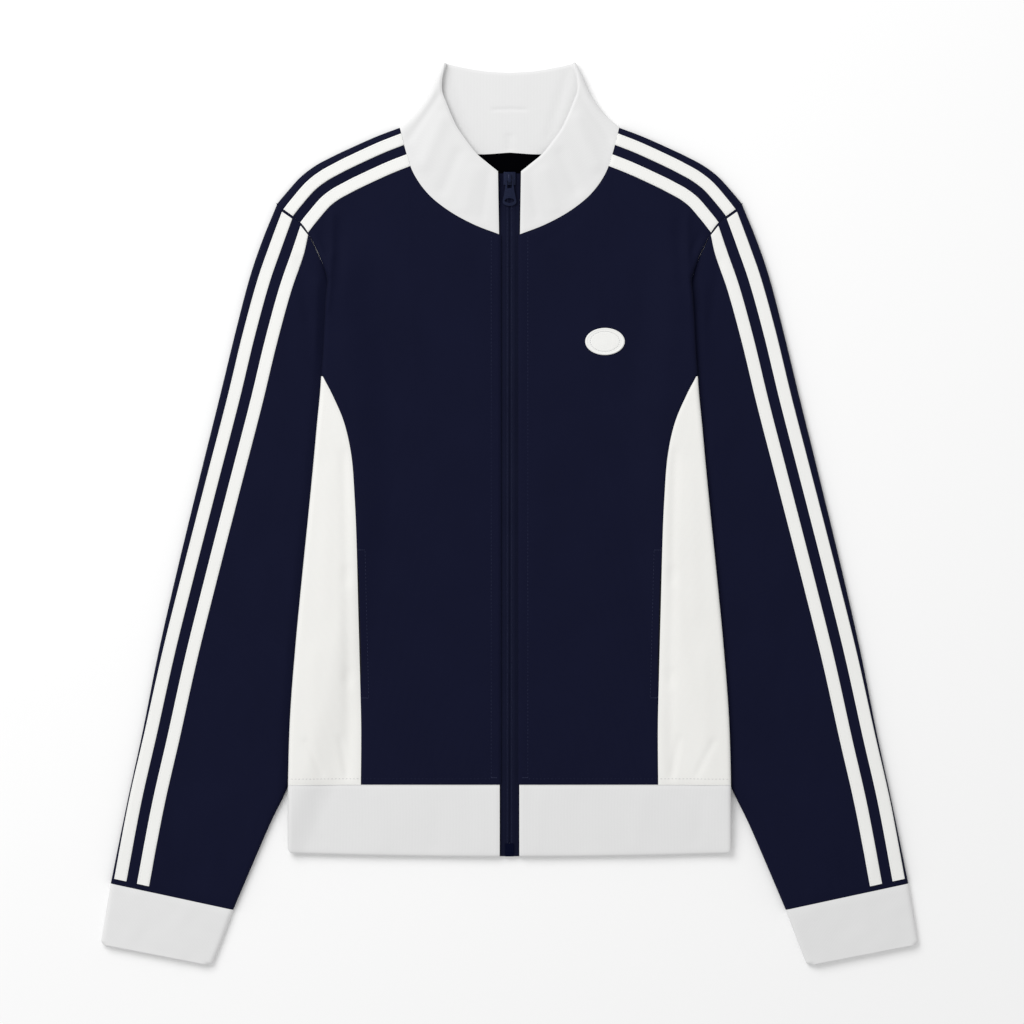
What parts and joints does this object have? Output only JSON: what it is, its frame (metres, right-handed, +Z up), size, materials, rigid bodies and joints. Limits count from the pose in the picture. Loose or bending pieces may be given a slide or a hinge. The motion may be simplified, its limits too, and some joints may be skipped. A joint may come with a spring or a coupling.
{
  "type": "track jacket",
  "caption": "Zip-front track jacket laid flat, with a stand-up collar, contrast side panels, sleeve stripes, and ribbed hem and cuffs.",
  "frame": {"origin": "centre of the bounding box's underside, on the surface that the jacket lies on", "axes": "+Z up through the jacket's thickness, +Y from the hem towards the collar, +X towards the wearer's left sleeve"},
  "size_m": [0.7224, 0.799, 0.0106],
  "materials": {
    "navy": "dark navy knitted tricot with a slight sheen",
    "off_white": "off-white knitted tricot",
    "rib_white": "white fine rib knit",
    "pocketing": "dark pocket lining",
    "zip_tape": "navy woven zip tape and coil",
    "zip_metal": "navy lacquered zinc"
  },
  "bodies": {
    "jacket": {"back_panel": "navy", "chest_patch": "off_white", "collar": "rib_white", "cuff_left": "rib_white", "cuff_right": "rib_white", "front_left": "navy", "front_right": "navy", "hem_band": "rib_white", "pocket_bag_left": "pocketing", "pocket_bag_right": "pocketing", "shoulder_stripe_inner_left": "off_white", "shoulder_stripe_inner_right": "off_white", "shoulder_stripe_outer_left": "off_white", "shoulder_stripe_outer_right": "off_white", "side_panel_left": "off_white", "side_panel_right": "off_white", "sleeve_left": "navy", "sleeve_right": "navy", "sleeve_stripe_inner_left": "off_white", "sleeve_stripe_inner_right": "off_white", "sleeve_stripe_outer_left": "off_white", "sleeve_stripe_outer_right": "off_white", "zip_box": "zip_tape", "zip_coil": "zip_tape", "zip_slider": "zip_metal", "zip_tape_left": "zip_tape", "zip_tape_right": "zip_tape"},
    "pull": {"zip_pull": "zip_metal"}
  },
  "joints": [
    {"name": "pull_hinge", "type": "hinge", "parent": "jacket", "child": "pull", "pos_m": [0, 0.2954, 0.00615], "axis": [-1, 0, 0], "range_deg": [0, 150]}
  ]
}
